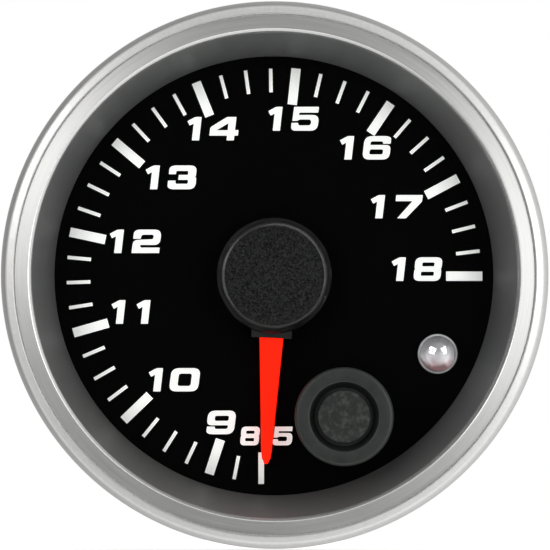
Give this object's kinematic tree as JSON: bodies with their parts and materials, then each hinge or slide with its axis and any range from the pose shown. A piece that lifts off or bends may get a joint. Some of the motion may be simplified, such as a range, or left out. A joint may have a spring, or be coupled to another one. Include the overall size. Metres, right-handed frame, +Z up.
{
  "type": "air fuel ratio gauge",
  "caption": "Round panel gauge with a needle on a black dial, a geared stepper movement, a warning lamp, a push button through the lens and a clamp bracket behind the case",
  "frame": {"origin": "on the axis of the case, in the plane where the rear of the bezel rests on the panel", "axes": "+Z is up, the dial looks towards -Y, the case and studs reach towards +Y, +X is to the right as seen from the front"},
  "size_m": [0.06, 0.057, 0.06],
  "materials": {
    "bezel": "spun aluminium: polished bead, brushed face",
    "lens": "clear, polished",
    "lens_gasket": "black foam rubber",
    "trim_ring": "dark grey satin paint",
    "dial_plate": "deep black screen print",
    "dial_scale": "white screen print",
    "light_guide": "clear acrylic",
    "display_board": "glass-fibre board with green solder mask",
    "backlight_lamps": "ceramic body with yellow cast lens",
    "warning_lamp": "clear cast epoxy",
    "lamp_leads": "tinned steel",
    "switch_body": "black, moulded",
    "switch_plunger": "light grey, moulded",
    "button_stem": "black acetal",
    "button_cap": "matt black with a mottled top",
    "button_grommet": "matt black",
    "hub_cap": "dark grey with a fine grain",
    "pointer_hub": "black, moulded",
    "pointer_needle": "bright red",
    "balance_weights": "turned brass",
    "pointer_shaft": "ground steel",
    "output_wheel": "natural acetal",
    "middle_wheel": "natural acetal",
    "rotor_magnet": "plastic-bonded ferrite",
    "rotor_pinion": "natural acetal",
    "stator_plate": "soft magnetic steel sheet",
    "coil_formers": "black, moulded",
    "coil_windings": "enamelled copper wire, wound",
    "movement_terminals": "tinned",
    "movement_cover": "off-white, moulded",
    "movement_base": "off-white, moulded",
    "link_strips": "black, moulded",
    "link_pins": "gold plated",
    "main_board": "glass-fibre board with green solder mask",
    "board_screws": "zinc plated",
    "control_chip": "black epoxy",
    "power_capacitor": "drawn aluminium can",
    "voltage_regulator": "black epoxy",
    "wiring_socket": "natural nylon",
    "socket_pins": "tinned",
    "case_cup": "black, moulded, fine grain",
    "mounting_studs": "zinc plated",
    "stud_nuts": "zinc plated",
    "mounting_bracket": "zinc plated strip",
    "spring_washers": "zinc plated",
    "thumb_nuts": "knurled brass"
  },
  "bodies": {
    "housing": {"bezel": "bezel", "lens": "lens", "lens_gasket": "lens_gasket", "trim_ring": "trim_ring", "dial_plate": "dial_plate", "dial_scale": "dial_scale", "light_guide": "light_guide", "display_board": "display_board", "backlight_lamps": "backlight_lamps", "warning_lamp": "warning_lamp", "lamp_leads": "lamp_leads", "switch_body": "switch_body", "button_grommet": "button_grommet", "stator_plate": "stator_plate", "coil_formers": "coil_formers", "coil_windings": "coil_windings", "movement_terminals": "movement_terminals", "movement_cover": "movement_cover", "movement_base": "movement_base", "link_strips": "link_strips", "link_pins": "link_pins", "main_board": "main_board", "board_screws": "board_screws", "control_chip": "control_chip", "power_capacitor": "power_capacitor", "voltage_regulator": "voltage_regulator", "wiring_socket": "wiring_socket", "socket_pins": "socket_pins", "case_cup": "case_cup", "mounting_studs": "mounting_studs", "stud_nuts": "stud_nuts", "mounting_bracket": "mounting_bracket", "spring_washers": "spring_washers", "thumb_nuts": "thumb_nuts"},
    "pointer": {"hub_cap": "hub_cap", "pointer_hub": "pointer_hub", "pointer_needle": "pointer_needle", "balance_weights": "balance_weights", "pointer_shaft": "pointer_shaft", "output_wheel": "output_wheel"},
    "middle": {"middle_wheel": "middle_wheel"},
    "rotor": {"rotor_magnet": "rotor_magnet", "rotor_pinion": "rotor_pinion"},
    "button": {"button_cap": "button_cap", "button_stem": "button_stem", "switch_plunger": "switch_plunger"}
  },
  "joints": [
    {"name": "pointer_sweep", "type": "hinge", "parent": "housing", "child": "pointer", "pos_m": [0, 0, 0], "axis": [0, 1, 0], "range_deg": [0, 267.5]},
    {"name": "middle_spin", "type": "hinge", "parent": "housing", "child": "middle", "pos_m": [-0.0053, 0, 0.00879], "axis": [0, 1, 0], "range_deg": [-4020, 8]},
    {"name": "rotor_spin", "type": "hinge", "parent": "housing", "child": "rotor", "pos_m": [0, 0, 0.01301], "axis": [0, 1, 0], "range_deg": [-100, 48250]},
    {"name": "push_button", "type": "slide", "parent": "housing", "child": "button", "axis": [0, 1, 0], "range_m": [0, 0.0005], "stiffness_N_per_m": 800}
  ],
  "couplings": [
    {"joint": "middle_spin", "follows": "pointer_sweep", "ratio": -15},
    {"joint": "rotor_spin", "follows": "pointer_sweep", "ratio": 180}
  ]
}
